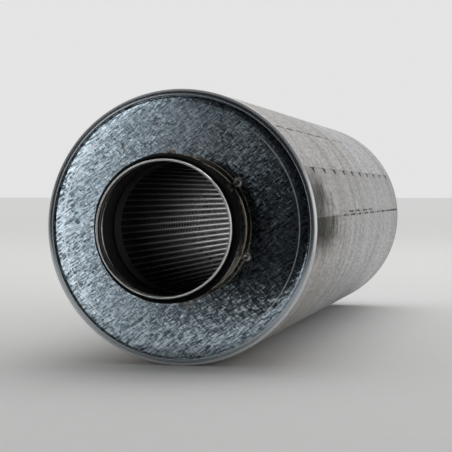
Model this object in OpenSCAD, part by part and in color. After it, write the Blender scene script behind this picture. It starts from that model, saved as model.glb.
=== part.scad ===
// Round duct sound attenuator, in millimetres.
// The air runs along Y, the front end is at -Y, Z is up and the origin is the middle of the casing.

/* [Casing] */
// Outside diameter
casing_d = 200; // [170:5:300]
// Length over the hems
casing_len = 600; // [300:50:1200]
// Sheet thickness
casing_sheet = 0.7; // [0.5:0.1:1]
// Width of the edge that is turned in and hemmed at each end
hem_width = 4.2; // [3.5:0.1:6]
// Outside radius of the bend into the hem
hem_bend_r = 1.6; // [1.2:0.1:2]

/* [Lock seam] */
// Angle of the seam above the horizontal, on the right seen from the front
seam_angle = 26; // [0:1:90]
// Width of the folded pocket inside the casing
pocket_width = 9; // [6:0.5:12]
// Width of the joint line outside
joint_width = 0.8; // [0.5:0.1:1.2]
// Depth of the joint line
joint_depth = 0.35; // [0.2:0.05:0.4]
// Distance between the punched buttons
button_pitch = 57; // [30:1:75]
// Width of a button along the seam
button_width = 6; // [3:0.5:8]
// Reach of a button across the seam
button_reach = 3; // [2:0.5:5]
// Depth of a button
button_depth = 0.35; // [0.2:0.05:0.4]
// Flat margin of the sheet above the seam
margin_above = 36.5; // [25:0.5:45]
// Flat margin of the sheet below the seam
margin_below = 38.5; // [25:0.5:45]
// Width of the crease where a margin ends
crease_width = 0.7; // [0.5:0.1:1]
// Depth of that crease
crease_depth = 0.25; // [0.1:0.05:0.4]

/* [End caps] */
// Sheet thickness
cap_sheet = 0.7; // [0.5:0.1:1]
// Depth of the skirt inside the casing
cap_skirt = 12; // [8:1:20]
// Outside radius of the bend into the skirt
cap_bend_r = 1.6; // [1.2:0.1:2]
// Width of the low rim round the raised middle
cap_rim = 9.5; // [7:0.5:15]
// Rise of the middle
cap_rise = 0.8; // [0.5:0.1:2]
// Gap between skirt and casing
cap_fit = 0.2; // [0.1:0.05:0.4]

/* [Spigots] */
// Nominal diameter of the duct that slides over a spigot
duct_d = 100; // [80:5:125]
// Gap between spigot and duct, on the radius
duct_clearance = 0.75; // [0.4:0.05:1.2]
// Sheet thickness
spigot_sheet = 0.7; // [0.5:0.1:1]
// Reach of a spigot in front of the casing
spigot_len = 48; // [35:1:80]
// Length of the lead-in taper at the mouth, from the rolled edge
taper_len = 1.5; // [1:0.1:3]
// Drop of the taper, on the radius
taper_drop = 1.05; // [0.6:0.05:1.5]
// Length of the plain land between taper and gasket
land_len = 3.5; // [2.5:0.1:6]
// How far the land lies inside the line of the neck
land_drop = 0.65; // [0:0.05:0.8]
// Depth of the gasket groove
groove_depth = 2; // [1:0.1:2.5]
// Length of each sloping side of the groove
groove_side = 2; // [1.5:0.1:3]
// Length of the groove's floor
groove_floor = 4; // [3:0.1:6]
// Inside radius of the bend into the base flange
flange_bend_r = 0.8; // [0.5:0.1:2]
// Width of the base flange between the rivets
flange_width = 3.5; // [2:0.1:8]
// Sheet of the flange's ears outside the rivet heads
ear_margin = 0.6; // [0.4:0.1:4]

/* [Gaskets] */
// How far the free lip stands out past the neck
lip_rise = 3.55; // [2.5:0.05:5]
// How far the lip's edge lies behind the front of the gasket
lip_reach = 4.6; // [3.5:0.1:7]
// Thickness of the lip's edge
lip_edge = 0.7; // [0.5:0.1:1]
// Thickness of the band over the groove
band_rise = 1.2; // [0.8:0.1:1.6]
// Gap between gasket and groove
gasket_fit = 0.1; // [0.05:0.05:0.2]

/* [Rivets] */
// Number round each flange
rivet_count = 6; // [4:1:10]
// Angle of the first one
rivet_angle = 37; // [0:1:60]
// Shank diameter
rivet_d = 4; // [3:0.2:4]
// Head diameter
rivet_head_d = 6.4; // [6:0.2:8]
// Head height
rivet_head_h = 1.6; // [1:0.1:2]
// Diameter of the hollow that the drawn stem leaves in the head
rivet_hollow_d = 3.2; // [2:0.2:3.6]
// Depth of that hollow
rivet_hollow_h = 1; // [0.5:0.1:2]
// Length of the spread end behind the cap
rivet_tail_h = 2; // [1:0.1:3]
// Diameter of the spread end
rivet_tail_d = 5.8; // [5:0.1:6]
// Gap round the shank
rivet_fit = 0.1; // [0.05:0.05:0.2]

/* [Liner] */
// Sheet thickness
liner_sheet = 0.6; // [0.5:0.1:0.8]
// Gap between liner and spigot
liner_fit = 0.2; // [0.1:0.05:0.4]
// How far the plain end runs into the spigot
liner_insert = 4; // [3:0.5:10]
// Perforated rows round the tube
row_count = 60; // [24:1:72]
// Openings along a row
slots_per_row = 2; // [1:1:2]
// Width of an opening
slot_width = 2.6; // [1.5:0.1:3]
// Plain sheet at each end of the tube
plain_end = 18; // [12:1:40]
// Plain sheet between two openings of a row
slot_bridge = 10; // [5:1:20]

/* [Packing] */
// Thickness of the glass tissue
tissue_thick = 0.6; // [0.4:0.1:1.2]
// Gap between the wrapped layers
layer_gap = 0.1; // [0.05:0.05:0.2]
// Gap between the wool and the sheet round it
wool_gap = 0.2; // [0.1:0.05:0.5]

/* [Hidden] */
$fn = 96;
// Overlap of joined solids, and the extra length of a cutter past what it cuts.
over = 1;

// Casing: the end plane, and the hem as two layers of its sheet.
casing_r = casing_d / 2;
end_y = -casing_len / 2;
hem_thick = 2 * casing_sheet;
pocket_thick = 3 * casing_sheet;
mm_angle = 180 / PI / casing_r;
button_count = floor(casing_len / button_pitch);

// End cap: it lies against the back of the hem.
cap_r = casing_r - casing_sheet - cap_fit;
cap_rim_y = end_y + hem_thick;
cap_face_y = cap_rim_y - cap_rise;
cap_back_y = cap_face_y + cap_sheet;
cap_step_r = casing_r - cap_rim;

// Spigot: stations along Y from the mouth to the flange on the cap.
neck_r = duct_d / 2 - duct_clearance;
neck_ri = neck_r - spigot_sheet;
mouth_y = end_y - spigot_len;
taper_y = mouth_y + spigot_sheet;
land_y = mouth_y + taper_len;
groove_y = land_y + land_len;
floor_y = groove_y + groove_side;
rise_y = floor_y + groove_floor;
neck_y = rise_y + groove_side;
flange_y = cap_face_y - spigot_sheet;
bend_y = flange_y - flange_bend_r;

// Liner, tissue and wool, each wrapped round the one before.
liner_ro = neck_ri - liner_fit;
liner_ri = liner_ro - liner_sheet;
liner_y = flange_y - liner_insert;
liner_len = -2 * liner_y;
slot_span = liner_len - 2 * plain_end;
slot_len = (slot_span - (slots_per_row - 1) * slot_bridge) / slots_per_row;
cap_hole_r = liner_ro + liner_fit;
tissue_ri = liner_ro + layer_gap;
tissue_ro = tissue_ri + tissue_thick;
tissue_y = cap_back_y + wool_gap;
wool_ri = tissue_ro + layer_gap;
wool_ro = casing_r - casing_sheet - wool_gap;
wool_end_ro = cap_r - cap_sheet - wool_gap;
wool_y = cap_rim_y + cap_sheet + wool_gap;
wool_skirt_y = cap_rim_y + cap_skirt + wool_gap;

// The rivet heads sit on the flat of the flange just clear of its bend, and the wool gives way behind them.
rivet_pcr = neck_r + flange_bend_r + rivet_fit + rivet_head_d / 2;
flange_r = neck_r + flange_width;
ear_r = rivet_head_d / 2 + ear_margin;
rivet_hole_d = rivet_d + 2 * rivet_fit;
tail_y = cap_back_y + rivet_tail_h;
wool_dent_r = rivet_pcr + rivet_tail_d / 2 + wool_gap;
wool_dent_y = tail_y + wool_gap;

// The pocket stops short of the caps' skirts.
pocket_len = casing_len - 2 * (hem_thick + cap_skirt + over);

// A profile drawn as radius against Y, turned round the duct's axis.
module turned() {
    rotate([-90, 0, 0]) rotate_extrude() children();
}

// A quarter of a bent sheet: x and y give the quadrant as signs.
module bend(centre, outer, sheet, x, y) {
    translate(centre) intersection() {
        difference() {
            circle(outer);
            circle(outer - sheet);
        }
        translate([x > 0 ? 0 : -outer, y > 0 ? 0 : -outer]) square(outer);
    }
}

// Puts a piece that was drawn on the +X side at an angle round the axis, upwards from horizontal.
module at_angle(angle) {
    rotate([0, -angle, 0]) children();
}

module round_flange() {
    for (i = [0 : rivet_count - 1]) {
        at_angle(rivet_angle + i * 360 / rivet_count) translate([rivet_pcr, 0, 0]) children();
    }
}

module rivet_holes() {
    round_flange() translate([0, cap_face_y, 0]) rotate([-90, 0, 0])
        cylinder(d = rivet_hole_d, h = 2 * (cap_sheet + spigot_sheet) + over, center = true);
}

// One end of the casing's profile: wall, bend and the doubled edge with its round fold.
module hem_profile() {
    fold_r = casing_r - hem_width + casing_sheet;
    bend_r = casing_r - hem_bend_r;
    bend([bend_r, end_y + hem_bend_r], hem_bend_r, casing_sheet, 1, -1);
    translate([fold_r, end_y]) square([bend_r - fold_r, hem_thick]);
    translate([fold_r, end_y + casing_sheet]) circle(casing_sheet);
}

module casing_wall_profile() {
    wall_len = casing_len - 2 * hem_bend_r;
    translate([casing_r - casing_sheet, -wall_len / 2]) square([casing_sheet, wall_len]);
}

// A straight groove along the casing, drawn at +X, that stops just short of the bends.
module groove_cutter(width, depth) {
    groove_len = casing_len - 2 * (hem_bend_r + over);
    translate([casing_r - depth, -groove_len / 2, -width / 2]) cube([depth + over, groove_len, width]);
}

// The buttons are punched just below the joint line, deepest at the line and running out to the surface.
module button_cutters() {
    foot = joint_width / 2 + button_reach;
    sag = casing_r - sqrt(casing_r * casing_r - foot * foot);
    for (i = [0 : button_count - 1]) {
        translate([0, (i - (button_count - 1) / 2) * button_pitch, 0])
            rotate([90, 0, 0]) linear_extrude(height = button_width, center = true)
                polygon([
                    [casing_r - button_depth, 0], [casing_r + over, 0],
                    [casing_r + over, -foot], [casing_r - sag, -foot]
                ]);
    }
}

module pocket() {
    inner_r = casing_r - casing_sheet - pocket_thick;
    translate([inner_r, -pocket_len / 2, -pocket_width / 2])
        cube([pocket_thick + casing_sheet / 3, pocket_len, pocket_width]);
}

module casing() {
    color("silver") difference() {
        union() {
            turned() {
                casing_wall_profile();
                hem_profile();
                mirror([0, 1]) hem_profile();
            }
            at_angle(seam_angle) pocket();
        }
        at_angle(seam_angle) groove_cutter(joint_width, joint_depth);
        at_angle(seam_angle) button_cutters();
        for (margin = [margin_above, -margin_below]) {
            at_angle(seam_angle + margin * mm_angle) groove_cutter(crease_width, crease_depth);
        }
    }
}

module cap_profile() {
    bend_r = cap_r - cap_bend_r;
    polygon([
        [cap_hole_r, cap_face_y], [cap_step_r, cap_face_y], [cap_step_r + cap_rise, cap_rim_y],
        [bend_r, cap_rim_y], [bend_r, cap_rim_y + cap_sheet], [cap_step_r + cap_rise, cap_rim_y + cap_sheet],
        [cap_step_r, cap_back_y], [cap_hole_r, cap_back_y]
    ]);
    bend([bend_r, cap_rim_y + cap_bend_r], cap_bend_r, cap_sheet, 1, -1);
    translate([cap_r - cap_sheet, cap_rim_y + cap_bend_r]) square([cap_sheet, cap_skirt - cap_bend_r]);
}

module end_cap() {
    difference() {
        turned() cap_profile();
        rivet_holes();
    }
}

module front_end_cap() {
    color("lightsteelblue") end_cap();
}

module rear_end_cap() {
    color("lightsteelblue") mirror([0, 1, 0]) end_cap();
}

// The collar's sheet from the rolled mouth over the groove to the neck's end.
function collar_outline() = [
    [neck_r - taper_drop, taper_y], [neck_r - land_drop, land_y], [neck_r - land_drop, groove_y],
    [neck_r - groove_depth, floor_y], [neck_r - groove_depth, rise_y], [neck_r, neck_y], [neck_r, bend_y]
];

module spigot_profile() {
    outside = collar_outline();
    last = len(outside) - 1;
    inside = [for (i = [last : -1 : 0]) outside[i] - [spigot_sheet, 0]];
    polygon(concat(outside, inside));
    translate([neck_r - taper_drop - spigot_sheet, taper_y]) circle(spigot_sheet);
    bend([neck_r + flange_bend_r, bend_y], flange_bend_r + spigot_sheet, spigot_sheet, -1, 1);
    translate([neck_r + flange_bend_r, flange_y])
        square([flange_r - neck_r - flange_bend_r, spigot_sheet]);
}

// The flange widens to a round ear under each rivet.
module rivet_ears() {
    round_flange() translate([0, flange_y, 0]) rotate([-90, 0, 0]) cylinder(r = ear_r, h = spigot_sheet);
}

module spigot() {
    difference() {
        union() {
            turned() spigot_profile();
            rivet_ears();
        }
        rivet_holes();
    }
}

module front_spigot() {
    color("gainsboro") spigot();
}

module rear_spigot() {
    color("gainsboro") mirror([0, 1, 0]) spigot();
}

// A foot in the groove, a band over it and one lip that leans back from the front.
module gasket_profile() {
    front_y = groove_y + gasket_fit;
    back_y = neck_y - gasket_fit;
    lip_r = neck_r + lip_rise;
    lip_y = front_y + lip_reach;
    polygon([
        [neck_r - land_drop + gasket_fit, front_y], [neck_r - groove_depth + gasket_fit, floor_y],
        [neck_r - groove_depth + gasket_fit, rise_y], [neck_r + gasket_fit, back_y],
        [neck_r + band_rise, back_y], [neck_r + band_rise, front_y + lip_reach * 0.6],
        [lip_r - lip_edge, lip_y + lip_edge], [lip_r, lip_y], [neck_r + band_rise, front_y]
    ]);
}

module front_gasket() {
    color("dimgray") turned() gasket_profile();
}

module rear_gasket() {
    color("dimgray") mirror([0, 1, 0]) turned() gasket_profile();
}

// A blind rivet along +Y: domed head with its hollow, shank and spread tail.
module rivet() {
    head_r = rivet_head_d / 2;
    dome_r = (head_r * head_r + rivet_head_h * rivet_head_h) / (2 * rivet_head_h);
    grip = spigot_sheet + cap_sheet;
    rotate([-90, 0, 0]) rotate_extrude() {
        difference() {
            intersection() {
                translate([0, dome_r - rivet_head_h]) circle(dome_r);
                translate([0, -rivet_head_h]) square([head_r + over, rivet_head_h]);
            }
            translate([0, -rivet_head_h - over]) square([rivet_hollow_d / 2, rivet_hollow_h + over]);
        }
        square([rivet_d / 2, grip]);
        translate([0, grip]) square([rivet_tail_d / 2, rivet_tail_h]);
    }
}

module rivets() {
    round_flange() translate([0, flange_y, 0]) rivet();
}

module front_rivets() {
    color("darkgray") rivets();
}

module rear_rivets() {
    color("darkgray") mirror([0, 1, 0]) rivets();
}

// The openings of each row, drawn as cutters through one wall of the tube.
module slot_cutters() {
    for (i = [0 : row_count - 1], j = [0 : slots_per_row - 1]) {
        at_angle((i + 0.5) * 360 / row_count)
            translate([liner_ro, (j - (slots_per_row - 1) / 2) * (slot_len + slot_bridge), 0])
                cube([2 * (liner_sheet + over), slot_len, slot_width], center = true);
    }
}

module perforated_liner() {
    color("lightgray") difference() {
        turned() translate([liner_ri, liner_y]) square([liner_sheet, liner_len]);
        slot_cutters();
    }
}

module glass_tissue() {
    color("ivory") turned() translate([tissue_ri, tissue_y]) square([tissue_thick, -2 * tissue_y]);
}

// One end of the wool: narrow inside the cap's skirt, with a corner off at its bend, and hollowed behind the rivets.
function wool_end() = [
    [wool_ri, wool_dent_y], [wool_dent_r, wool_dent_y], [wool_dent_r, wool_y], [wool_end_ro - cap_bend_r, wool_y],
    [wool_end_ro, wool_y + cap_bend_r], [wool_end_ro, wool_skirt_y], [wool_ro, wool_skirt_y]
];

module mineral_wool() {
    near = wool_end();
    last = len(near) - 1;
    far = [for (i = [last : -1 : 0]) [near[i][0], -near[i][1]]];
    room = pocket_thick + wool_gap;
    color("khaki") difference() {
        turned() polygon(concat(near, far));
        at_angle(seam_angle)
            translate([wool_ro - room + over, 0, 0])
                cube([2 * room, pocket_len + 2 * wool_gap, pocket_width + 2 * wool_gap], center = true);
    }
}

casing();
front_end_cap();
rear_end_cap();
front_spigot();
rear_spigot();
front_gasket();
rear_gasket();
front_rivets();
rear_rivets();
perforated_liner();
glass_tissue();
mineral_wool();
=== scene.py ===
# %% [markdown]
# # A round duct silencer in galvanised sheet
#
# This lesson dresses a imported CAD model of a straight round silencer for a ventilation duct. The real one
# is a tube of galvanised sheet with two flat end caps, a collar with a rubber gasket at each end, and a
# perforated tube inside that is wrapped in glass tissue and mineral wool. The lesson starts with the
# tools and the frame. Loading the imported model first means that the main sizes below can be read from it
# instead of being typed again.

# %% Tools and frame
import math

import bmesh
import bpy
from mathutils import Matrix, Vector


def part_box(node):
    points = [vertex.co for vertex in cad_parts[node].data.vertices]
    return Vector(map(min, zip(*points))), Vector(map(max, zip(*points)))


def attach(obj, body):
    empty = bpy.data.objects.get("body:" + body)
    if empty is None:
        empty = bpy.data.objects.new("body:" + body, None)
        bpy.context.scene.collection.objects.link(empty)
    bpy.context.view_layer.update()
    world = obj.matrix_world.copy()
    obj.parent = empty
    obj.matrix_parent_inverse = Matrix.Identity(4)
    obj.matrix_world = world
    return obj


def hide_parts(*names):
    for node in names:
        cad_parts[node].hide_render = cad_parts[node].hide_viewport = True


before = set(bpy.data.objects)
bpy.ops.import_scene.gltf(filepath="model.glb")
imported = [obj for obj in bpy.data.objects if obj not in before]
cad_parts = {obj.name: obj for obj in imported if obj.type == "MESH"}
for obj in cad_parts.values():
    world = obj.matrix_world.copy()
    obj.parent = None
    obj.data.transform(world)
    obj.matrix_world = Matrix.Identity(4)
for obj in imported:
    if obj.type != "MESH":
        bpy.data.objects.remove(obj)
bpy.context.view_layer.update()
scene = bpy.context.scene
scene.view_settings.view_transform = "Standard"
MM = 0.001
print("nodes in the frame:", sorted(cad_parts))

# %% [markdown]
# ## Camera
#
# The photograph looks into the front mouth a little from the right, and from just above the axis. A
# camera can be placed by hand or be given an angle and a distance. Here it gets its place and two angles,
# because these are what a fit of the picture's two ellipses gives: the front rim and the rear rim of the
# casing.

# %% Camera
camera_place = Vector((0.2521, -1.3081, 0.0244))
camera_azimuth = math.radians(12.19)
camera_drop = math.radians(1.29)
ahead = Vector((-math.sin(camera_azimuth), math.cos(camera_azimuth), -math.tan(camera_drop)))
lens = bpy.data.cameras.new("camera")
lens.lens = 114.9
lens.sensor_width = 36
camera = bpy.data.objects.new("camera", lens)
camera.location = camera_place
camera.rotation_euler = ahead.to_track_quat("-Z", "Y").to_euler()
scene.collection.objects.link(camera)
scene.camera = camera
print("camera looks along", [round(v, 3) for v in ahead.normalized()])

# %% [markdown]
# ## Sizes
#
# A lathe section needs radii and stations along the duct. The outer ones come from the boxes of the CAD
# nodes, so a change in the source reaches this scene by itself. Sheet thicknesses are stock sizes, and
# they are written once. Stations run along Y, and the front end is the negative one.

# %% Sizes from the frame
SHEET = 0.7 * MM
NECK_OVER_LINER = 0.9 * MM
FLANGE_WIDE = 3.5 * MM
casing_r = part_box("casing")[1].z
end_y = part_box("casing")[0].y
cap_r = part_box("front_end_cap")[1].x
cap_face_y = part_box("front_end_cap")[0].y
mouth_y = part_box("front_spigot")[0].y
flange_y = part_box("front_spigot")[1].y - SHEET
lip_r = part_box("front_gasket")[1].x
gasket_front_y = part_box("front_gasket")[0].y
gasket_back_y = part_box("front_gasket")[1].y
rivet_top_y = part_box("front_rivets")[0].y
liner_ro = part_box("perforated_liner")[1].x
liner_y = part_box("perforated_liner")[0].y
neck_r = liner_ro + NECK_OVER_LINER
flange_r = neck_r + FLANGE_WIDE
print("casing", round(2 * casing_r / MM), "mm across, neck", round(2 * neck_r / MM, 1), "mm")

# %% [markdown]
# ## Making a mesh piece
#
# Most of the silencer is bent, rolled or spun sheet, so one helper turns points and faces into a piece
# that rides on the frame. The normals are worked out once for the closed mesh, and only edges that bend
# sharply stay hard, as on real sheet, where a bend has a radius and a cut edge has none.

# %% Piece helper
WELD_REACH = 0.002 * MM


def sheet_piece(name, points, faces, node, hard=38):
    mesh = bpy.data.meshes.new(name)
    mesh.from_pydata(points, [], faces)
    shell = bmesh.new()
    shell.from_mesh(mesh)
    bmesh.ops.remove_doubles(shell, verts=shell.verts, dist=WELD_REACH)
    bmesh.ops.recalc_face_normals(shell, faces=shell.faces)
    shell.to_mesh(mesh)
    shell.free()
    mesh.shade_smooth()
    mesh.set_sharp_from_angle(angle=math.radians(hard))
    piece = bpy.data.objects.new(name, mesh)
    scene.collection.objects.link(piece)
    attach(piece, "root")
    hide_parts(node)
    mesh.calc_loop_triangles()
    print(name, len(mesh.loop_triangles), "triangles")
    return piece


# %% [markdown]
# ## Turning a section
#
# A cap, a collar and a gasket are all round, so each is a section of radius against station, turned round
# the duct. A Screw modifier could do that from a curve. Writing the rings directly is as short, and it
# lets a ring wander a little, which the rubber needs. Bends in a section are short arcs. Both ends of the
# silencer are the same, so the last helper makes a piece twice, the second time mirrored.


# %% Lathe helpers
def arc(radius_at, station, size, start, stop, steps=6):
    turn = [math.radians(start + (stop - start) * k / steps) for k in range(steps + 1)]
    return [(radius_at + size * math.cos(t), station + size * math.sin(t)) for t in turn]


def closed_grid(turns, count):
    """Faces between the closed sections of a full turn, each with so many points."""
    faces = []
    for i in range(turns):
        here = i * count
        there = (i + 1) % turns * count
        for j in range(count):
            k = (j + 1) % count
            faces.append((here + j, here + k, there + k, there + j))
    return faces


def turned(section, steps, wander=None):
    points = []
    for i in range(steps):
        angle = 2 * math.pi * i / steps
        for radius, y in section:
            reach = radius + (wander(angle, radius) if wander else 0)
            points.append((reach * math.cos(angle), y, reach * math.sin(angle)))
    return points, closed_grid(steps, len(section))


def both_ends(kind, points, faces, node, hard=38):
    """The same piece at the front end and, mirrored, at the rear end."""
    mirrored = [(x, -y, z) for x, y, z in points]
    front = sheet_piece("front_" + kind, points, faces, "front_" + node, hard)
    rear = sheet_piece("rear_" + kind, mirrored, faces, "rear_" + node, hard)
    return front, rear


# %% [markdown]
# ## Casing: where the sheet is worked
#
# The casing is one sheet rolled into a tube and closed by a snap-lock seam on the right. Outside, the
# seam shows as a fine joint line with small punched buttons below it. The flat margins of the sheet end
# in one crease above the seam and one below it, which the rollers press only here and there, and beside
# the lower one they left a second, dashed line. These marks could be a bump map. They are real dents
# here, because a crease has to catch the light along the whole length of the tube.

# %% Casing marks
SEAM = math.radians(26)
UPPER_CREASE = 36.5 * MM
LOWER_CREASE = -38.5 * MM
SECOND_LINE = -35.6 * MM
CREASE_HALF = 1.25 * MM
CREASE_DEPTH = 0.25 * MM
JOINT_HALF = 0.55 * MM
JOINT_DEPTH = 0.35 * MM
BUTTON_PITCH = 57 * MM
BUTTON_REACH = 4.0 * MM
BUTTON_HALF = 7.5 * MM
BUTTON_TAPER = 0.6
BUTTON_SLOPE = 0.8 * MM
BUTTON_DEPTH = 0.6 * MM
BUTTON_COUNT = int(-2 * end_y / BUTTON_PITCH)
button_rows = [(i - (BUTTON_COUNT - 1) / 2) * BUTTON_PITCH for i in range(BUTTON_COUNT)]
print(BUTTON_COUNT, "buttons along the seam")

# %% Creases
LONG_WAVE = 130
SHORT_WAVE = 310
SHORT_SHARE = 0.8
PHASE_SPREAD = 2.1
DASH_LEVEL = 0.55
DASH_SWING = 0.6
UPPER_PHASE = 0
LOWER_PHASE = 1.3
SECOND_PHASE = 2.6
UPPER_LOSS = 0.7
UPPER_FADES = (-0.15, 0.2)
LOWER_STARTS = (-0.23, -0.13)
LOWER_FILLS = (0.08, 0.26)
SECOND_STARTS = (-0.16, -0.1)
SECOND_ENDS = (0.1, 0.02)


def ramp(value, start, stop):
    return min(1, max(0, (value - start) / (stop - start)))


def dashes(y, phase):
    """Where the rollers pressed hard enough to leave a line, from 0 to 1."""
    wave = math.sin(LONG_WAVE * y + phase)
    wave += SHORT_SHARE * math.sin(SHORT_WAVE * y + PHASE_SPREAD * phase)
    return min(1, max(0, DASH_LEVEL + DASH_SWING * wave))


def crease_press(across, y):
    """The upper crease fades towards the rear, the lower one starts late and ends as a full line."""
    upper = dashes(y, UPPER_PHASE) * (1 - UPPER_LOSS * ramp(y, *UPPER_FADES))
    lower = max(dashes(y, LOWER_PHASE) * ramp(y, *LOWER_STARTS), ramp(y, *LOWER_FILLS))
    second = dashes(y, SECOND_PHASE) * ramp(y, *SECOND_STARTS) * ramp(y, *SECOND_ENDS)
    lines = ((UPPER_CREASE, upper), (LOWER_CREASE, lower), (SECOND_LINE, second))
    return max(max(0, 1 - abs(across - place) / CREASE_HALF) * press for place, press in lines)


# %% Seam
JOINT_PHASE = 4.0
JOINT_DIRT = 0.2
JOINT_DIRT_SWING = 0.4


def button_dent(below, y):
    reach = below / BUTTON_REACH
    if reach < 0 or reach > 1:
        return 0
    away = min(abs(y - row) for row in button_rows)
    half = BUTTON_HALF * (1 - BUTTON_TAPER * reach)
    return max(0, min(1, (half - away) / BUTTON_SLOPE))


def casing_dent(across, y):
    """Depth of the surface below its round, and how dark it is painted, across the seam and along it: dirt
    in the joint line, painted shade in the buttons and the creases.
    """
    joint = max(0, 1 - abs(across) / JOINT_HALF)
    button = button_dent(-across, y)
    crease = crease_press(across, y)
    depth = max(JOINT_DEPTH * joint, BUTTON_DEPTH * button, CREASE_DEPTH * crease)
    joint_dirt = (JOINT_DIRT + JOINT_DIRT_SWING * dashes(y, JOINT_PHASE)) * joint
    # Painted shade: a button or a crease adds its full press to the dark colour, as the shade in the dent,
    # and the joint line adds real dirt.
    dirt_and_shade = max(joint_dirt, button, crease)
    return depth, dirt_and_shade


# %% [markdown]
# ## Casing: the shell
#
# A plain grid round the tube would need millions of faces to hold a line half a millimetre wide. The
# columns are gathered at the seam and at the three lines beside it instead, and the rows at the buttons,
# so a light grid is enough. At both ends the sheet bends in and is folded back on itself as a hem. The
# hem leans back in two flats, because pressing leaves no true plane: the outer flat catches the side
# light as the white line of the rim, and the inner one stays grey.

# %% Casing grid
COLUMN_STEP = math.radians(1.5)
COLUMN_ROOM = math.radians(0.5)


def spread(values, extra, apart):
    kept = [v for v in values if all(abs(v - e) > apart for e in extra)]
    return sorted(kept + list(extra))


seam_steps = (-5.2, -4.5, -3.8, -3.1, -2.5, -1.9, -1.3, -0.8, -0.5, -0.2, 0.2, 0.6, 1.1, 1.6, 2.1, 2.7)
crease_steps = (-1.25, -0.75, -0.25, 0.25, 0.75, 1.25)
fine_columns = [SEAM + step * MM / casing_r for step in seam_steps]
for place in (UPPER_CREASE, LOWER_CREASE, SECOND_LINE):
    fine_columns += [SEAM + (place + step * MM) / casing_r for step in crease_steps]
plain_columns = [COLUMN_STEP * k for k in range(round(2 * math.pi / COLUMN_STEP))]
columns = spread(plain_columns, fine_columns, COLUMN_ROOM)
print(len(columns), "columns round the casing")

# %% Hem and rows
HEM_WIDE = 4.2 * MM
HEM_ROUND = 0.8 * MM
HEM_LEAN = math.radians(17)
RIM_LEAN = math.radians(32)
RIM_WIDE = 2.2 * MM
ROW_COUNT = 120
ROW_ROOM = 1.2 * MM
rim_bend = HEM_ROUND * math.cos(RIM_LEAN) + (RIM_WIDE - HEM_ROUND) * math.tan(RIM_LEAN)
face_bend = (HEM_WIDE - RIM_WIDE) * math.tan(HEM_LEAN)
skin_end = end_y + face_bend + rim_bend
button_steps = (-8.2, -7.4, -6.4, -5.4, -4.4, -3.4, -2.2, 0, 2.2, 3.4, 4.4, 5.4, 6.4, 7.4, 8.2)
fine_rows = [row + step * MM for row in button_rows for step in button_steps]
plain_rows = [skin_end * (1 - 2 * k / ROW_COUNT) for k in range(ROW_COUNT + 1)]
skin_rows = spread(plain_rows, fine_rows, ROW_ROOM)
print(len(skin_rows), "rows along the casing")

# %% Casing section
front_hem = [(casing_r - SHEET, skin_end), (casing_r - 1.6 * MM, end_y + 1.5 * MM)]
front_hem.append((casing_r - 2.6 * MM, end_y + 2 * SHEET))
front_hem += arc(casing_r - HEM_WIDE, end_y + SHEET, SHEET, 90, 270 + math.degrees(HEM_LEAN))
front_hem.append((casing_r - RIM_WIDE, end_y + face_bend))
front_hem += arc(casing_r - HEM_ROUND, skin_end, HEM_ROUND, 270 + math.degrees(RIM_LEAN), 360)[:-1]
rear_hem = [(radius, -y) for radius, y in reversed(front_hem)]
skin = [(casing_r, y) for y in skin_rows]
casing_section = front_hem + skin + rear_hem
first_dent = len(front_hem) + 1
last_dent = len(front_hem) + len(skin) - 2
print("casing section of", len(casing_section), "points")

# %% Casing shell
# Painted reflection: below the seam the colour is painted darker, fading out over this reach, for the flat
# margin that mirrors the room differently.
DARK_REACH = 75 * MM
casing_points = []
casing_dirt_and_shade = []
casing_painted_dark = []
for angle in columns:
    across = ((angle - SEAM + math.pi) % (2 * math.pi) - math.pi) * casing_r
    for k, (radius, y) in enumerate(casing_section):
        depth, dirt_and_shade = casing_dent(across, y) if first_dent <= k <= last_dent else (0, 0)
        reach = radius - depth
        casing_points.append((reach * math.cos(angle), y, reach * math.sin(angle)))
        casing_dirt_and_shade.append(dirt_and_shade)
        casing_painted_dark.append(max(0, 1 + across / DARK_REACH) if across < 0 else 0)

casing_faces = closed_grid(len(columns), len(casing_section))
casing = sheet_piece("casing_shell", casing_points, casing_faces, "casing", hard=50)
# Painted shade: this attribute holds the dirt of the joint line and the painted shade of the buttons and
# creases.
marks = casing.data.attributes.new("seam_dirt_and_shade", "FLOAT", "POINT")
marks.data.foreach_set("value", casing_dirt_and_shade)
painted_darker = casing.data.attributes.new("painted_dark_below_seam", "FLOAT", "POINT")
painted_darker.data.foreach_set("value", casing_painted_dark)

# %% [markdown]
# ## End caps
#
# An end cap is a round of sheet with its rim turned in, and it lies behind the hem. A flat disc would be
# the shortcut. The real cap's middle stands a little proud. Outside it the sheet falls away slowly, and
# beside the hem, where it is clamped, it drops the last half millimetre. These falls bend the reflections
# near the edge, so the cap is a lathe section that holds them.

# %% End caps
CAP_MARGIN = 9.5 * MM
CAP_RISE = 0.8 * MM
CAP_BEND = 1.6 * MM
CAP_HOLE_GAP = 0.2 * MM
cap_step_r = casing_r - CAP_MARGIN
cap_rim_y = cap_face_y + CAP_RISE
cap_skirt_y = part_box("front_end_cap")[1].y
cap_hole_r = liner_ro + CAP_HOLE_GAP
flat_rings = (60, 70, 80)
slow_fall = ((-0.1, 0), (0.25, 0.02), (3.0, 0.26), (3.3, 0.29))

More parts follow.
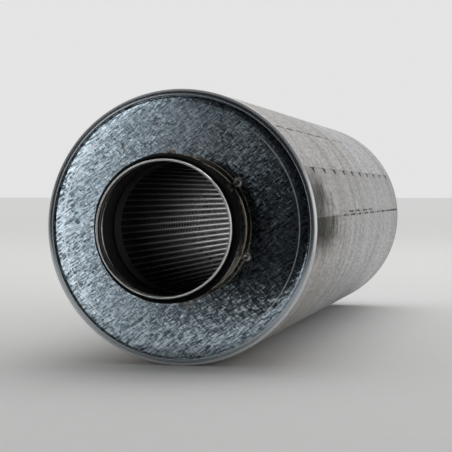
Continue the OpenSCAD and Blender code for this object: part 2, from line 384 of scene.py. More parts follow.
cap_section = [(cap_hole_r, cap_face_y)]
cap_section += [(radius * MM, cap_face_y) for radius in flat_rings]
cap_section += [(cap_step_r + out * MM, cap_face_y + fall * MM) for out, fall in slow_fall]
cap_section += [(cap_step_r + 3.9 * MM, cap_rim_y - 0.05 * MM), (cap_step_r + 4.4 * MM, cap_rim_y)]
cap_section += arc(cap_r - CAP_BEND, cap_rim_y + CAP_BEND, CAP_BEND, 270, 360)
cap_section += [(cap_r, cap_skirt_y), (cap_r - SHEET, cap_skirt_y)]
cap_section += [(cap_r - SHEET, cap_rim_y + CAP_BEND), (cap_r - CAP_BEND, cap_rim_y + SHEET)]
cap_section += [(cap_step_r + 3.4 * MM, cap_rim_y + SHEET), (cap_step_r, cap_face_y + SHEET)]
cap_section += [(cap_hole_r, cap_face_y + SHEET)]
cap_points, cap_faces = turned(cap_section, steps=180)
caps = both_ends("cap", cap_points, cap_faces, "end_cap", hard=60)

# %% [markdown]
# ## Spigots
#
# A spigot is the collar that a duct slides over. Its mouth is rolled into a round edge, a groove holds
# the gasket, and a narrow flange at the foot is riveted to the cap. Seen from the front, the rolled edge
# and the inside of the groove are the two bright rings of the mouth, so the section follows the sheet on
# both faces.

# %% Spigots
MOUTH_TAPER = 1.05 * MM
LAND_DROP = 0.65 * MM
GROOVE_DEPTH = 2.0 * MM
FOOT_BEND = 0.8 * MM
FLANGE_EDGE = 0.15 * MM
ROLL_SIZE = 0.7 * MM
NECK_STEP = 8 * MM
land_y = mouth_y + 1.5 * MM
groove_y = land_y + 3.5 * MM
groove_end_y = groove_y + 8 * MM
roll_r = neck_r - MOUTH_TAPER - ROLL_SIZE
land_r = neck_r - LAND_DROP
groove_r = neck_r - GROOVE_DEPTH
outer_line = [(land_r - 0.1 * MM, land_y - 0.25 * MM), (land_r, land_y + 0.25 * MM)]
outer_line += [(land_r, groove_y - 0.4 * MM), (land_r - 0.2 * MM, groove_y + 0.2 * MM)]
outer_line += [(groove_r + 0.3 * MM, groove_y + 0.9 * MM), (groove_r, groove_y + 1.5 * MM)]
outer_line += [(groove_r, groove_end_y - 2.3 * MM), (groove_r + 0.3 * MM, groove_end_y - 1.7 * MM)]
outer_line += [(neck_r - 0.2 * MM, groove_end_y - 0.2 * MM), (neck_r, groove_end_y + 0.4 * MM)]
outer_line += [(neck_r, groove_end_y + k * NECK_STEP) for k in (1, 2, 3, 4)]
inner_line = [(radius - SHEET, y) for radius, y in reversed(outer_line)]

spigot_section = arc(roll_r, mouth_y + ROLL_SIZE, ROLL_SIZE, 120, 355, steps=16) + outer_line
spigot_section += arc(neck_r + FOOT_BEND, flange_y - FOOT_BEND, FOOT_BEND, 180, 90)
spigot_section += [(flange_r - FLANGE_EDGE, flange_y), (flange_r, flange_y + FLANGE_EDGE)]
spigot_section.append((flange_r, flange_y + SHEET))
spigot_section += arc(neck_r + FOOT_BEND, flange_y - FOOT_BEND, FOOT_BEND + SHEET, 90, 180)
spigot_section += inner_line
spigot_points, spigot_faces = turned(spigot_section, steps=160)
print("collar section of", len(spigot_section), "points")

# %% [markdown]
# ## Rivet places
#
# Six rivets hold each flange, and the flange is widened to a round ear under each of them. Ears and
# rivets are small lathes round axes of their own, so one helper turns a section and sets it at the six
# places.

# %% Rivet places
RIVET_COUNT = 6
RIVET_START = math.radians(37)
RIVET_GAP = 0.1 * MM
HEAD_R = 3.2 * MM
rivet_circle = neck_r + FOOT_BEND + RIVET_GAP + HEAD_R


def six_times(section, steps, start=0):
    points = []
    faces = []
    count = len(section)
    for n in range(RIVET_COUNT):
        place = RIVET_START + 2 * math.pi * n / RIVET_COUNT
        first = start + len(points)
        for i in range(steps):
            turn = 2 * math.pi * i / steps
            for radius, y in section:
                x = rivet_circle * math.cos(place) + radius * math.cos(turn)
                z = rivet_circle * math.sin(place) + radius * math.sin(turn)
                points.append((x, y, z))
        for i in range(steps):
            here = first + i * count
            there = first + (i + 1) % steps * count
            for j in range(count - 1):
                faces.append((here + j, here + j + 1, there + j + 1, there + j))
    return points, faces


print("rivets on a circle of", round(2 * rivet_circle / MM, 1), "mm")

# %% Ears and collars
EAR_MARGIN = 0.6 * MM
EAR_PROUD = 0.03 * MM
EAR_SHEET = 0.95 * SHEET
ear_r = HEAD_R + EAR_MARGIN
ear_y = flange_y - EAR_PROUD
ear_section = [(0, ear_y), (ear_r - FLANGE_EDGE, ear_y), (ear_r, ear_y + FLANGE_EDGE)]
ear_section += [(ear_r, flange_y + EAR_SHEET), (0, flange_y + EAR_SHEET)]
ear_points, ear_faces = six_times(ear_section, steps=28, start=len(spigot_points))
collar_points = spigot_points + ear_points
collar_faces = spigot_faces + ear_faces
collars = both_ends("collar", collar_points, collar_faces, "spigot")

# %% [markdown]
# ## Gaskets
#
# The gasket is a strip of soft black rubber with a foot in the groove and one thin lip that leans back
# from the mouth. A clean lathe would look like hard plastic. The real lip is stretched round the collar
# and waves by a fraction of a millimetre, so the outer points of the section wander with the angle.

# %% Gaskets
BAND_OVER_NECK = 1.2 * MM
BAND_EDGE = 0.3 * MM
GROOVE_FIT = 0.1 * MM
FOOT_INSET = 2.2 * MM
LIP_ROUND = 0.35 * MM
LIP_SWING = 0.16 * MM
LIP_PULL = 0.34 * MM
LIP_WAVES = ((5, 0.7, 1.0), (11, 2.0, 0.6), (23, 0.0, 0.4))
band_r = neck_r + BAND_OVER_NECK
foot_r = groove_r + GROOVE_FIT
lip_y = gasket_front_y + 4.6 * MM
gasket_section = [(land_r + GROOVE_FIT, gasket_front_y), (foot_r, groove_y + FOOT_INSET)]
gasket_section += [(foot_r, groove_end_y - FOOT_INSET), (neck_r + GROOVE_FIT, gasket_back_y)]
gasket_section += [(band_r - BAND_EDGE, gasket_back_y), (band_r, gasket_back_y - BAND_EDGE)]
gasket_section += [(band_r, gasket_front_y + 3.1 * MM), (band_r + 0.8 * MM, gasket_front_y + 3.9 * MM)]
gasket_section += arc(lip_r - LIP_ROUND, lip_y + 0.2 * MM, LIP_ROUND, 110, -60, steps=5)
gasket_section.append((band_r + 1.2 * MM, gasket_front_y + 2.2 * MM))
gasket_section.append((band_r + 0.1 * MM, gasket_front_y + BAND_EDGE))
gasket_section.append((band_r - BAND_EDGE, gasket_front_y))


def lip_wave(angle, radius):
    free = max(0, (radius - band_r) / (lip_r - band_r))
    wave = sum(share * math.sin(count * angle + phase) for count, phase, share in LIP_WAVES)
    return free * (LIP_SWING * wave - LIP_PULL)


gasket_points, gasket_faces = turned(gasket_section, steps=200, wander=lip_wave)
seals = both_ends("seal", gasket_points, gasket_faces, "gasket")

# %% [markdown]
# ## Rivets
#
# Pulling the stem of a blind rivet leaves a domed head with a small dark hollow, and that hollow is what
# makes a rivet read as a ring from a distance. A half sphere would miss it, so the head is a lathe
# section with the hollow in it, and the shank and the upset tail behind the cap belong to the same
# section.

# %% Rivets
SHANK_R = 1.95 * MM
TAIL_R = 2.9 * MM
TAIL_LONG = 2 * MM
tail_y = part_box("front_rivets")[1].y
upset_y = tail_y - TAIL_LONG
head_line = [(0, 1.0), (1.25, 0.95), (1.6, 0.75), (1.6, 0.2), (1.72, 0.04), (2.0, 0), (2.35, 0.14)]
head_line += [(2.75, 0.42), (3.05, 0.85), (3.2, 1.3), (3.2, 1.6)]
rivet_section = [(radius * MM, rivet_top_y + y * MM) for radius, y in head_line]
rivet_section += [(SHANK_R, flange_y), (SHANK_R, upset_y), (TAIL_R, upset_y)]
rivet_section += [(TAIL_R, tail_y - 0.4 * MM), (TAIL_R - 0.5 * MM, tail_y), (0, tail_y)]
rivet_points, rivet_faces = six_times(rivet_section, steps=32)
rivet_sets = both_ends("rivet_set", rivet_points, rivet_faces, "rivets")

# %% [markdown]
# ## Perforated liner
#
# The liner lets the sound through to the wool. It has sixty rows of punched holes, and the sheet between
# the rows is what shows as bright bars in the mouth. An alpha pattern on a plain tube would be lighter,
# but it would have no wall. Here each hole is a six-sided opening in its own small cell of sheet, with an
# inner face, an outer face and a wall between them, so it darkens as a real hole does when it is seen at
# a slant.

# %% Liner sizes
LINER_SHEET = 0.6 * MM
HOLE_ROWS = 60
HOLE_HALF_WIDE = 2.05 * MM
HOLE_HALF_LONG = 2.45 * MM
HOLE_SIDE_LONG = 1.95 * MM
HOLE_PITCH = 5.6 * MM
PLAIN_END = 18 * MM
liner_faces_r = (liner_ro - LINER_SHEET, liner_ro)
punched_y = liner_y + PLAIN_END
stations = round(-2 * punched_y / HOLE_PITCH)
station_step = -2 * punched_y / stations
row_step = 2 * math.pi / HOLE_ROWS
print(HOLE_ROWS * stations, "punched holes")

# %% Liner points
liner_points = []
liner_faces = []


def liner_point(radius, angle, y):
    liner_points.append((radius * math.cos(angle), y, radius * math.sin(angle)))
    return len(liner_points) - 1


def liner_ring(radius, y):
    return [liner_point(radius, row * row_step, y) for row in range(HOLE_ROWS)]


station_places = [punched_y + k * station_step for k in range(stations + 1)]
lattice = [[liner_ring(radius, y) for y in station_places] for radius in liner_faces_r]
print(len(liner_points), "points where the cells meet")

# %% Liner cells
hole_reach = HOLE_HALF_WIDE / liner_ro
hole_outline = [(0.0, HOLE_HALF_LONG), (hole_reach, HOLE_SIDE_LONG), (hole_reach, -HOLE_SIDE_LONG)]
hole_outline += [(-angle, -y) for angle, y in hole_outline]


def punched_hole(row, station):
    """The six points of a hole on one face of the sheet, then on the other."""
    middle_angle = (row + 0.5) * row_step
    middle_y = punched_y + (station + 0.5) * station_step
    rims = []
    for radius in liner_faces_r:
        rims.append([liner_point(radius, middle_angle + a, middle_y + y) for a, y in hole_outline])
    return rims


for row in range(HOLE_ROWS):
    after = (row + 1) % HOLE_ROWS
    for station in range(stations):
        rims = punched_hole(row, station)
        for rings, rim in zip(lattice, rims):
            near, far = rings[station], rings[station + 1]
            liner_faces.append((far[after], near[after], rim[2], rim[1]))
            liner_faces.append((near[row], far[row], rim[5], rim[4]))
            liner_faces += [(near[after], near[row], rim[3]), (near[after], rim[3], rim[2])]
            liner_faces += [(near[row], rim[4], rim[3]), (far[row], far[after], rim[0])]
            liner_faces += [(far[after], rim[1], rim[0]), (far[row], rim[0], rim[5])]
        for k in range(6):
            n = (k + 1) % 6
            liner_faces.append((rims[0][k], rims[0][n], rims[1][n], rims[1][k]))
print(len(liner_faces), "faces in the punched sheet")

# %% Plain ends of the liner
for edge_y, last in ((liner_y, 0), (-liner_y, stations)):
    inner_edge = liner_ring(liner_faces_r[0], edge_y)
    outer_edge = liner_ring(liner_faces_r[1], edge_y)
    strips = [lattice[0][last], inner_edge, outer_edge, lattice[1][last]]
    for inner, outer in zip(strips, strips[1:]):
        for row in range(HOLE_ROWS):
            after = (row + 1) % HOLE_ROWS
            liner_faces.append((inner[row], inner[after], outer[after], outer[row]))
liner = sheet_piece("liner_tube", liner_points, liner_faces, "perforated_liner", hard=45)

# %% [markdown]
# ## Shader helpers
#
# Every finish below is built from nodes. The first helper places a node with its settings and inputs, and
# the short ones after it are for the nodes that come up most. The next cell opens a node group with named
# sockets. A group is for an effect that several finishes share, as the crystals of the zinc are on four
# of them. The shader itself always stays in the material.


# %% Node helpers
def put(tree, kind, feeds=None, **settings):
    node = tree.nodes.new("ShaderNode" + kind)
    for key, value in settings.items():
        setattr(node, key, value)
    for key, value in (feeds or {}).items():
        if isinstance(value, bpy.types.NodeSocket):
            tree.links.new(value, node.inputs[key])
        else:
            node.inputs[key].default_value = value
    return node


def math_of(tree, operation, first, second=0.0):
    return put(tree, "Math", {0: first, 1: second}, operation=operation).outputs[0]


def product(tree, first, *others):
    for other in others:
        first = math_of(tree, "MULTIPLY", first, other)
    return first


def vector_of(tree, operation, first, second=(0.0, 0.0, 0.0)):
    return put(tree, "VectorMath", {0: first, 1: second}, operation=operation).outputs[0]


def scaled(tree, value, low, high, out_low, out_high):
    feeds = {"Value": value, 1: low, 2: high, 3: out_low, 4: out_high}
    return put(tree, "MapRange", feeds, clamp=True).outputs[0]


def blend(tree, share, first, second, how="MIX"):
    feeds = {0: share, 6: first, 7: second}
    return put(tree, "Mix", feeds, data_type="RGBA", blend_type=how).outputs[2]


def between(tree, share, first, second):
    return put(tree, "Mix", {0: share, 2: first, 3: second}, data_type="FLOAT").outputs[0]


def noise(tree, place, scale, detail=3.0, rough=0.5):
    feeds = {"Vector": place, "Scale": scale, "Detail": detail, "Roughness": rough}
    return put(tree, "TexNoise", feeds).outputs["Fac"]


def object_place(tree):
    return put(tree, "TexCoord").outputs["Object"]


# %% Group helpers
SOCKETS = {float: "NodeSocketFloat", tuple: "NodeSocketVector"}


def effect(name, inputs, outputs):
    tree = bpy.data.node_groups.new(name, "ShaderNodeTree")
    for label, value in inputs.items():
        socket = tree.interface.new_socket(label, in_out="INPUT", socket_type=SOCKETS[type(value)])
        socket.default_value = value
    for label, kind in outputs.items():
        tree.interface.new_socket(label, in_out="OUTPUT", socket_type=kind)
    entry = tree.nodes.new("NodeGroupInput")
    leave = tree.nodes.new("NodeGroupOutput")
    return tree, entry.outputs, leave.inputs


def use(tree, group, **values):
    node = tree.nodes.new("ShaderNodeGroup")
    node.node_tree = group
    for key, value in values.items():
        node.inputs[key].default_value = value
    return node.outputs


# %% [markdown]
# ## Zinc crystals
#
# Hot-dip zinc freezes in flat crystals. Each one is tilted a little, so each one mirrors another part of
# the room, and that is why galvanised sheet glitters. A noise in the colour alone would look printed. The
# group cuts the surface into stretched cells with a Voronoi texture, and leans the normal of each cell
# its own way.

# %% Zinc crystal group
RAGGED_SCALE = 420.0
MID_GREY = (0.5, 0.5, 0.5)
tree, given, made = effect(
    "zinc_crystals",
    {"Size": 0.002, "Stretch": 2.0, "Lean": 0.6, "Tilt": 0.2, "Ragged": 0.3},
    {"Tone": "NodeSocketFloat", "Normal": "NodeSocketVector"},
)
spot = object_place(tree)
ragged = put(tree, "TexNoise", {"Vector": spot, "Scale": RAGGED_SCALE, "Detail": 2.0}).outputs["Color"]
shake = vector_of(tree, "SUBTRACT", ragged, MID_GREY)
shake_size = product(tree, given["Size"], given["Ragged"])
shift = put(tree, "VectorMath", {0: shake, "Scale": shake_size}, operation="SCALE").outputs[0]
turn = {"Vector": vector_of(tree, "ADD", spot, shift), "Angle": given["Lean"]}
leant = put(tree, "VectorRotate", turn, rotation_type="Y_AXIS").outputs[0]
long_way = math_of(tree, "DIVIDE", 1.0, product(tree, given["Size"], given["Stretch"]))
short_way = math_of(tree, "DIVIDE", 1.0, given["Size"])
counts = put(tree, "CombineXYZ", {"X": long_way, "Y": short_way, "Z": short_way}).outputs[0]
cells_at = vector_of(tree, "MULTIPLY", leant, counts)
cells = put(tree, "TexVoronoi", {"Vector": cells_at, "Scale": 1.0}).outputs["Color"]
cell_lean = vector_of(tree, "SUBTRACT", cells, MID_GREY)
push = put(tree, "VectorMath", {0: cell_lean, "Scale": given["Tilt"]}, operation="SCALE").outputs[0]
flat = put(tree, "NewGeometry").outputs["Normal"]
facet = vector_of(tree, "NORMALIZE", vector_of(tree, "ADD", flat, push))
split = put(tree, "SeparateColor", {0: cells}).outputs
tone = math_of(tree, "ADD", product(tree, split[0], 0.7), product(tree, split[1], 0.3))
tree.links.new(tone, made["Tone"])
tree.links.new(facet, made["Normal"])
zinc_crystals = tree
print("group", tree.name, "with", len(tree.nodes), "nodes")

# %% [markdown]
# ## Rolling streaks
#
# Sheet leaves the mill with faint streaks in the direction of rolling, and on a rolled tube they run
# round it. The group is a noise that is squeezed along one axis and stretched along the others. The
# numbers of repeats per metre are inputs, so the same group draws the broad bands on the casing and the
# fine lines on a collar.

# %% Streak group
tree, given, made = effect(
    "rolling_streaks",
    {"Repeats": (4.0, 90.0, 4.0), "Sharpness": 0.12},
    {"Streak": "NodeSocketFloat"},
)
squeezed = vector_of(tree, "MULTIPLY", object_place(tree), given["Repeats"])
drawn = noise(tree, squeezed, scale=1.0, detail=4.0, rough=0.55)
low = math_of(tree, "SUBTRACT", 0.5, given["Sharpness"])
high = math_of(tree, "ADD", 0.5, given["Sharpness"])
tree.links.new(scaled(tree, drawn, low, high, 0.0, 1.0), made["Streak"])
rolling_streaks = tree
print("group", tree.name, "with", len(tree.nodes), "nodes")

# %% [markdown]
# ## Handling marks
#
# Hands, gloves and shelves leave soft dull patches on metal and a bloom on rubber. Such marks have no
# edge and come in two sizes at once. The group multiplies a broad noise with a finer one, and each finish
# decides what the mask does: dull the gloss, brown the zinc or grey the rubber.

# %% Handling group
PATCH_EDGE = 0.78
PATCH_SOFT = 0.22
tree, given, made = effect(
    "handling_marks",
    {"Patches": 18.0, "Speckle": 160.0, "Cover": 0.5},
    {"Mask": "NodeSocketFloat"},
)
spot = object_place(tree)
broad = noise(tree, spot, scale=given["Patches"], rough=0.55)
fine = noise(tree, spot, scale=given["Speckle"], rough=0.6)
edge = math_of(tree, "SUBTRACT", PATCH_EDGE, product(tree, given["Cover"], 0.5))
patch = scaled(tree, broad, edge, math_of(tree, "ADD", edge, PATCH_SOFT), 0.0, 1.0)
grainy = scaled(tree, fine, 0.3, 0.7, 0.35, 1.0)
tree.links.new(product(tree, patch, grainy), made["Mask"])
handling_marks = tree
print("group", tree.name, "with", len(tree.nodes), "nodes")

# %% [markdown]
# ## Faces that look inwards
#
# The finishes paint shade on the inside of a collar and on the cut edges of the liner's holes, while the
# outside and the bars stay bright. One value tells these faces apart: how far a face looks towards the
# duct's axis. It is 1 on the inside of a tube, -1 on its outside and near 0 on a cut edge, so the
# finishes need no masks painted in an image.

# %% Inward group
tree, _, made = effect("inward_faces", {}, {"Inward": "NodeSocketFloat"})
to_axis = vector_of(tree, "NORMALIZE", vector_of(tree, "MULTIPLY", object_place(tree), (-1.0, 0.0, -1.0)))
looks = put(tree, "NewGeometry").outputs["Normal"]
inward = put(tree, "VectorMath", {0: looks, 1: to_axis}, operation="DOT_PRODUCT").outputs["Value"]
tree.links.new(inward, made["Inward"])
inward_faces = tree
print("group", tree.name, "with", len(tree.nodes), "nodes")

# %% [markdown]
# ## Fibres
#
# Glass tissue and mineral wool are both mats of fibres, one thin and tight, the other loose. A fibre mat
# can be drawn as two noises that are stretched in crossing directions, and the brighter of the two wins
# at each point.

# %% Fibre group
FIBRE_TURNS = (0.5, -0.7)
tree, given, made = effect(
    "fibre_mat",
    {"Repeats": 900.0, "Length": 9.0},
    {"Tone": "NodeSocketFloat", "Height": "NodeSocketFloat"},
)
spot = object_place(tree)
short = math_of(tree, "DIVIDE", given["Repeats"], given["Length"])
counts = put(tree, "CombineXYZ", {"X": given["Repeats"], "Y": short, "Z": given["Repeats"]}).outputs[0]
strands = []
for turn in FIBRE_TURNS:
    laid = put(tree, "VectorRotate", {"Vector": spot, "Angle": turn}, rotation_type="X_AXIS").outputs[0]
    stretched = vector_of(tree, "MULTIPLY", laid, counts)
    strands.append(noise(tree, stretched, scale=1.0, detail=2.0))
top = math_of(tree, "MAXIMUM", strands[0], strands[1])
tree.links.new(scaled(tree, top, 0.4, 0.75, 0.0, 1.0), made["Tone"])
tree.links.new(top, made["Height"])
fibre_mat = tree
print("group", tree.name, "with", len(tree.nodes), "nodes")

# %% [markdown]
# ## Making a finish
#
# A finish is a material with one Principled shader, which covers metal, rubber and fibre alike. One
# helper opens it and another puts it on a piece in place of what the piece wore. The colours of each
# finish are named where it is made.


# %% Finish helpers
def finish(name, metallic=0.0):
    material = bpy.data.materials.new(name)
    material.use_nodes = True
    tree = material.node_tree
    tree.nodes.clear()
    shader = put(tree, "BsdfPrincipled", {"Metallic": metallic})
    put(tree, "OutputMaterial", {"Surface": shader.outputs[0]})
    return material, tree, shader


def wear(piece, material):
    piece.data.materials.clear()
    piece.data.materials.append(material)
    print(piece.name, "wears", material.name)


# %% [markdown]
# ## Casing zinc
#
# The casing is skin-passed sheet: the crystals are small and quiet, and what shows is the streaks, a warm
# tan towards both ends, dark dirt in the joint line, and painted shade in the buttons and the creases.
# Below the seam the sheet is painted darker, a painted reflection of its flat margin, and near the front,
# on the right, a dark painted reflection of the unlit room lies round the lower crease as a brown patch.
# Dirt, painted shade and painted reflection are no metal, so they lower the metallic value too. The hem
# is smoother than the skin, slate grey on its inner flat, and on the outer one a pale, half metallic
# colour is a painted sheen that lifts the white line of the rim. The dirt and the painted shade come from
# the mesh attribute that was written with the dents, so they can't slip off them.

# %% Casing sheet
ZINC_GREY = (0.575, 0.585, 0.615, 1)
ZINC_TAN = (0.36, 0.315, 0.25, 1)
rear_y = -end_y
warm_band = (rear_y - 68 * MM, rear_y - 62 * MM)
casing_zinc, tree, shader = finish("casing_zinc", 1.0)
crystals = use(tree, zinc_crystals, Size=0.0016, Stretch=1.6, Lean=0.4, Tilt=0.09, Ragged=0.8)
bands = use(tree, rolling_streaks, Repeats=(3.0, 26.0, 3.0), Sharpness=0.16)["Streak"]
lines = use(tree, rolling_streaks, Repeats=(9.0, 100.0, 9.0), Sharpness=0.1)["Streak"]
grains = use(tree, rolling_streaks, Repeats=(420.0, 80.0, 420.0), Sharpness=0.18)["Streak"]
place = put(tree, "SeparateXYZ", {0: object_place(tree)}).outputs
warm_front = scaled(tree, place["Y"], end_y, 0.0, 0.45, 0.0)
warm_rear = scaled(tree, place["Y"], *warm_band, 0.0, 0.2)
warm_ends = math_of(tree, "ADD", warm_front, warm_rear)
warm = math_of(tree, "ADD", product(tree, bands, lines, 0.8), warm_ends)
zinc = blend(tree, math_of(tree, "MINIMUM", warm, 1.0), ZINC_GREY, ZINC_TAN)
grain = scaled(tree, grains, 0.0, 1.0, 0.6, 1.2)
mottle = product(tree, scaled(tree, crystals["Tone"], 0.0, 1.0, 0.75, 1.05), grain)
mottle_grey = put(tree, "CombineColor", {0: mottle, 1: mottle, 2: mottle}).outputs[0]
mottled = blend(tree, 1.0, zinc, mottle_grey, "MULTIPLY")
print("bare casing zinc of", len(tree.nodes), "nodes")

# %% Casing painted reflection
PAINTED_DARK_GREY = (0.22, 0.21, 0.195, 1)
PAINTED_REFLECTION_BROWN = (0.04, 0.04, 0.029, 1)
REFLECTION_FOOT = (-24 * MM, -6 * MM)
REFLECTION_HEAD = (20 * MM, 50 * MM)
RIGHT_SIDE = (0.0, 50 * MM)
STRAY_UP = 12 * MM
STRAY_ALONG = 80 * MM
long_reach = (end_y + 50 * MM, end_y + 150 * MM)
short_reach = (end_y + 20 * MM, end_y + 90 * MM)
crease_z = casing_r * math.sin(SEAM + LOWER_CREASE / casing_r)
crease_edge = (crease_z, crease_z + 1.5 * MM)
# Painted reflection: on the right, near the front, round and under the lower crease, the zinc is painted
# dark brown, less metallic and rougher, standing in for the dark room mirrored there.
reflection_breakup = use(tree, handling_marks, Patches=30.0, Speckle=240.0, Cover=0.95)["Mask"]
stray = scaled(tree, noise(tree, object_place(tree), scale=55.0, rough=0.6), 0.3, 0.7, -0.5, 0.5)
height = math_of(tree, "ADD", place["Z"], product(tree, stray, STRAY_UP))
along = math_of(tree, "ADD", place["Y"], product(tree, stray, STRAY_ALONG))
over_foot = scaled(tree, height, *REFLECTION_FOOT, 0.0, 1.0)
under_crease = scaled(tree, place["Z"], *crease_edge, 1.0, 0.0)
patch = product(tree, under_crease, over_foot, scaled(tree, along, *long_reach, 1.0, 0.0))
under_head = scaled(tree, height, *REFLECTION_HEAD, 0.85, 0.0)
crescent = product(tree, under_head, over_foot, scaled(tree, along, *short_reach, 1.0, 0.0))
by_side = scaled(tree, place["X"], *RIGHT_SIDE, 0.0, 1.0)
reach = product(tree, math_of(tree, "MAXIMUM", patch, crescent), by_side)
painted_reflection = product(tree, reach, scaled(tree, reflection_breakup, 0.0, 0.8, 0.84, 1.0))
# Painted reflection: the sheet below the seam is painted a darker grey, standing in for how its flat margin
# mirrors the room.
lower = put(tree, "Attribute", attribute_name="painted_dark_below_seam").outputs["Fac"]
darkened_below_seam = blend(tree, product(tree, lower, 0.45), mottled, PAINTED_DARK_GREY)
with_painted_reflection = blend(tree, painted_reflection, darkened_below_seam, PAINTED_REFLECTION_BROWN)
print("stained casing zinc of", len(tree.nodes), "nodes")

# %% Casing dirt, painted shade and hem
DIRT_AND_SHADE_BROWN = (0.045, 0.038, 0.028, 1)
RIM_PAINTED_SHEEN = (0.74, 0.75, 0.77, 1)
HEM_SLATE = (0.45, 0.5, 0.54, 1)
HEM_ROUGHNESS = 0.25
rear_band = (rear_y - 5 * MM, rear_y - 2.5 * MM)
hem_band = (rear_y - 2.8 * MM, rear_y - 2 * MM)
face_band = (rear_y - 0.9 * MM, rear_y - 0.6 * MM)
# Painted shade: buttons and creases are painted dark brown as the shade in their dents, the joint line as
# dirt, and the colour also darkens just before the rear hem.
seam_dirt_and_shade = put(tree, "Attribute", attribute_name="seam_dirt_and_shade").outputs["Fac"]
rear_edge = scaled(tree, place["Y"], *rear_band, 0.0, 0.8)
dirt_and_shade = math_of(tree, "MAXIMUM", scaled(tree, seam_dirt_and_shade, 0.05, 0.7, 0.0, 0.95), rear_edge)
dirty = blend(tree, dirt_and_shade, with_painted_reflection, DIRT_AND_SHADE_BROWN)
from_middle = math_of(tree, "ABSOLUTE", place["Y"])
on_hem = scaled(tree, from_middle, *hem_band, 0.0, 1.0)
on_face = scaled(tree, from_middle, *face_band, 0.0, 1.0)
# Painted sheen: the outer flat of the hem is pale and only half metallic, so it shows light all round and
# lifts the white line of the rim where it mirrors the dark room.
hem_zinc = blend(tree, on_face, RIM_PAINTED_SHEEN, HEM_SLATE)
tree.links.new(blend(tree, on_hem, dirty, hem_zinc), shader.inputs["Base Color"])
# Dirt, painted shade and painted reflection all lose metal and gain roughness.
dirt_and_painted_dark = math_of(tree, "MAXIMUM", dirt_and_shade, painted_reflection)
bare = math_of(tree, "SUBTRACT", 1.0, dirt_and_painted_dark)
hem_bare = scaled(tree, on_face, 0.0, 1.0, 0.5, 0.95)
tree.links.new(between(tree, on_hem, bare, hem_bare), shader.inputs["Metallic"])
shader.inputs["Specular IOR Level"].default_value = 0.15
dull = scaled(tree, bands, 0.0, 1.0, 0.36, 0.46)
roughened_where_dark = math_of(tree, "ADD", dull, product(tree, dirt_and_painted_dark, 0.45))
tree.links.new(between(tree, on_hem, roughened_where_dark, HEM_ROUGHNESS), shader.inputs["Roughness"])
plain = put(tree, "NewGeometry").outputs["Normal"]
level = put(tree, "Mix", {0: on_hem, 4: crystals["Normal"], 5: plain}, data_type="VECTOR").outputs[1]
tree.links.new(level, shader.inputs["Normal"])
wear(casing, casing_zinc)

# %% [markdown]
# ## Cap zinc
#
# The caps are cut from ordinary galvanised sheet with coarse crystals that glitter from almost white to
# almost black, and this glitter is painted into the colour as well: each crystal's tone is a painted
# reflection, dark or bright. The crystals are drawn out along the rolling direction, which lies at a slant
# on this cap.
# Two layers are mixed, since one size of cell alone looks like tiles, and a slow bump bends the
# reflections, since no sheet is quite flat. At the left and the right a thin pale ring is painted into the
# zinc as a highlight. It is only colour and no ridge, with no height that could be felt.

# %% Cap finish
SPANGLE_PAINTED_DARK = (0.055, 0.08, 0.1, 1)
SPANGLE_PAINTED_BRIGHT = (0.75, 0.89, 0.99, 1)
HAZE_GREY = (0.52, 0.53, 0.55, 1)
cap_zinc, tree, shader = finish("cap_zinc", 1.0)
coarse = use(tree, zinc_crystals, Size=0.00085, Stretch=4.0, Lean=0.62, Tilt=0.12, Ragged=0.35)
small = use(tree, zinc_crystals, Size=0.0008, Stretch=4.0, Lean=-0.75, Tilt=0.1, Ragged=0.4)
haze = use(tree, handling_marks, Patches=11.0, Speckle=120.0, Cover=0.5)["Mask"]
shade = math_of(tree, "ADD", product(tree, coarse["Tone"], 0.7), product(tree, small["Tone"], 0.3))
# Painted reflection: the crystal tones paint the glitter into the colour, from almost black to almost
# white.
glint = scaled(tree, shade, 0.26, 0.76, 0.0, 1.0)
zinc = blend(tree, glint, SPANGLE_PAINTED_DARK, SPANGLE_PAINTED_BRIGHT)
hazed = blend(tree, product(tree, haze, 0.15), zinc, HAZE_GREY)
gloss = scaled(tree, small["Tone"], 0.0, 1.0, 0.1, 0.17)
tree.links.new(math_of(tree, "ADD", gloss, product(tree, haze, 0.03)), shader.inputs["Roughness"])
facet = vector_of(tree, "NORMALIZE", vector_of(tree, "ADD", coarse["Normal"], small["Normal"]))
slow = noise(tree, object_place(tree), scale=22.0, detail=1.0, rough=0.4)
dent = {"Strength": 0.06, "Distance": 0.002, "Height": slow, "Normal": facet}
tree.links.new(put(tree, "Bump", dent).outputs[0], shader.inputs["Normal"])
print("cap zinc of", len(tree.nodes), "nodes")

# %% Painted highlight ring on the caps
PAINTED_HIGHLIGHT_PALE = (0.93, 0.95, 0.96, 1)
HIGHLIGHT_SHARE = 0.7
HIGHLIGHT_INSET = 3.0 * MM
RING_EDGE = (0.2 * MM, 0.7 * MM)
SIDE_START = (45 * MM, 65 * MM)
highlight_ring_r = cap_step_r - HIGHLIGHT_INSET
across = vector_of(tree, "MULTIPLY", object_place(tree), (1.0, 0.0, 1.0))
from_axis = put(tree, "VectorMath", {0: across}, operation="LENGTH").outputs["Value"]
from_ring = math_of(tree, "ABSOLUTE", math_of(tree, "SUBTRACT", from_axis, highlight_ring_r))
sideways = math_of(tree, "ABSOLUTE", put(tree, "SeparateXYZ", {0: across}).outputs["X"])
at_sides = scaled(tree, sideways, *SIDE_START, 0.0, 1.0)
# Painted highlight: a thin, pale and less metallic ring at the left and right of the cap.
painted_highlight = product(tree, scaled(tree, from_ring, *RING_EDGE, HIGHLIGHT_SHARE, 0.0), at_sides)
tree.links.new(scaled(tree, painted_highlight, 0.0, HIGHLIGHT_SHARE, 1.0, 0.6), shader.inputs["Metallic"])
tree.links.new(blend(tree, painted_highlight, hazed, PAINTED_HIGHLIGHT_PALE), shader.inputs["Base Color"])
for piece in caps:
    wear(piece, cap_zinc)

